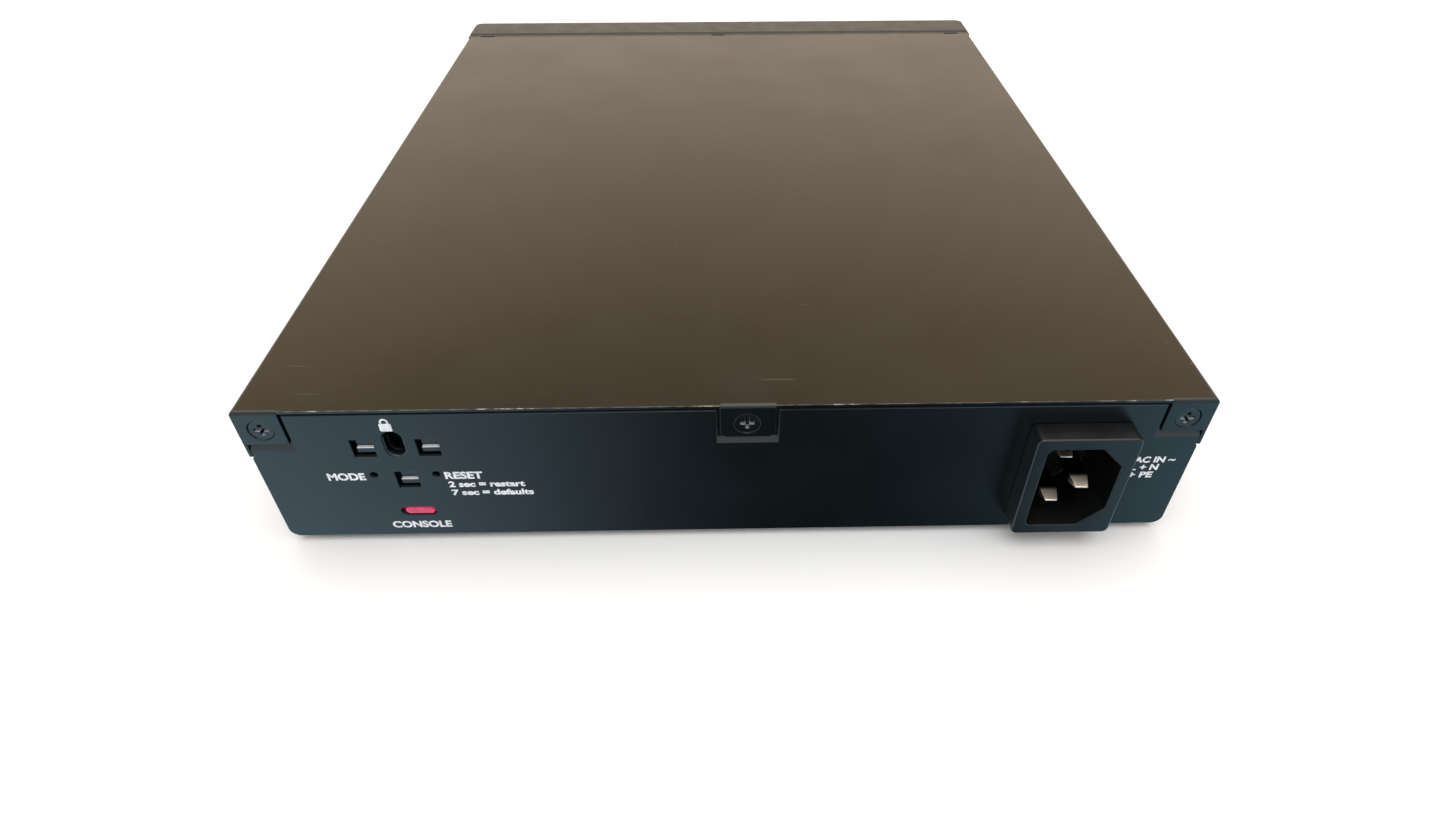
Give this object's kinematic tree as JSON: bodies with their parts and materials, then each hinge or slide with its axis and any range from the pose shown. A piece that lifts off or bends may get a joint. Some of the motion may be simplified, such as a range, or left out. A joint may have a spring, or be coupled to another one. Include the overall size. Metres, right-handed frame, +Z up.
{
  "type": "rackmount network switch",
  "caption": "Half-rack managed network switch in a folded steel case, with a front port block, a rear mains inlet, lock slot, recessed buttons and a plugged console socket.",
  "frame": {"origin": "under the middle of the bounding box, on the plane that the feet stand on", "axes": "+Z up, +Y towards the front with the network ports, -Y towards the rear with the mains inlet, +X towards the inlet's side"},
  "size_m": [0.2106, 0.2596, 0.0414],
  "materials": {
    "pan_paint": "satin powder coat",
    "cover_paint": "fine textured powder coat",
    "bezel_plastic": "fine textured",
    "black_screw": "black zinc",
    "zinc_steel": "zinc plated",
    "clip_plastic": "semi-gloss",
    "inlet_plastic": "semi-matt",
    "pin_metal": "nickelled brass",
    "board_laminate": "solder mask",
    "port_plastic": "moulded",
    "tin_plate": "tin plated",
    "gilt_contact": "gold flash",
    "light_pipe": "clear",
    "switch_black": "moulded",
    "button_plastic": "moulded",
    "plug_red": "glossy",
    "foot_rubber": "matt",
    "ferrite": "sintered",
    "coil_tape": "taped",
    "can_sleeve": "shrink sleeve",
    "film_case": "moulded",
    "fuse_ceramic": "glazed",
    "plain_aluminium": "mill finish",
    "insulator_film": "satin",
    "header_plastic": "moulded",
    "wire_sleeve": "satin",
    "chip_epoxy": "moulded",
    "pad_silicone": "soft"
  },
  "bodies": {
    "switch_case": {"board_screws": "zinc_steel", "bulk_capacitors": "can_sleeve", "chassis_base": "pan_paint", "chip_heatsink": "plain_aluminium", "common_mode_choke": "ferrite", "console_shell": "tin_plate", "console_tongue": "port_plastic", "cover_nuts": "zinc_steel", "cover_screws": "black_screw", "dc_connectors": "header_plastic", "dc_wires": "wire_sleeve", "ear_inserts": "zinc_steel", "filter_capacitor": "film_case", "flash_chip": "chip_epoxy", "front_bezel": "bezel_plastic", "fuse_clips": "tin_plate", "inlet_body": "inlet_plastic", "inlet_pin_earth": "pin_metal", "inlet_pin_line": "pin_metal", "inlet_pin_neutral": "pin_metal", "lock_plate": "zinc_steel", "main_board": "board_laminate", "main_board_standoffs": "zinc_steel", "mains_fuse": "fuse_ceramic", "mains_leads": "wire_sleeve", "memory_chips": "chip_epoxy", "mode_switch_body": "switch_black", "output_capacitors": "can_sleeve", "polymer_capacitors": "plain_aluminium", "port_block_contacts": "gilt_contact", "port_block_housing": "port_plastic", "port_block_shield": "tin_plate", "port_light_pipes": "light_pipe", "port_magnetics": "chip_epoxy", "power_inductors": "ferrite", "power_transistors": "chip_epoxy", "processor_chip": "chip_epoxy", "reset_switch_body": "switch_black", "riser_board": "board_laminate", "rubber_feet": "foot_rubber", "sfp_cage_1": "tin_plate", "sfp_cage_2": "tin_plate", "sfp_connectors": "port_plastic", "slot_clip": "clip_plastic", "status_light_pipes": "light_pipe", "supply_board": "board_laminate", "supply_board_standoffs": "zinc_steel", "supply_heatsinks": "plain_aluminium", "supply_insulator": "insulator_film", "switch_chip": "chip_epoxy", "thermal_pad": "pad_silicone", "top_cover": "cover_paint", "transformer_core": "ferrite", "transformer_winding": "coil_tape", "uplink_contacts": "gilt_contact", "uplink_housing": "port_plastic", "uplink_shield": "tin_plate"},
    "mode_plunger": {"mode_button": "button_plastic"},
    "reset_plunger": {"reset_button": "button_plastic"},
    "dust_plug": {"console_plug": "plug_red"}
  },
  "joints": [
    {"name": "mode_button_press", "type": "slide", "parent": "switch_case", "child": "mode_plunger", "axis": [0, 1, 0], "range_m": [0, 0.0003], "stiffness_N_per_m": 800},
    {"name": "reset_button_press", "type": "slide", "parent": "switch_case", "child": "reset_plunger", "axis": [0, 1, 0], "range_m": [0, 0.0003], "stiffness_N_per_m": 800},
    {"name": "console_plug_pull", "type": "slide", "parent": "switch_case", "child": "dust_plug", "axis": [0, -1, 0], "range_m": [0, 0.012]}
  ]
}
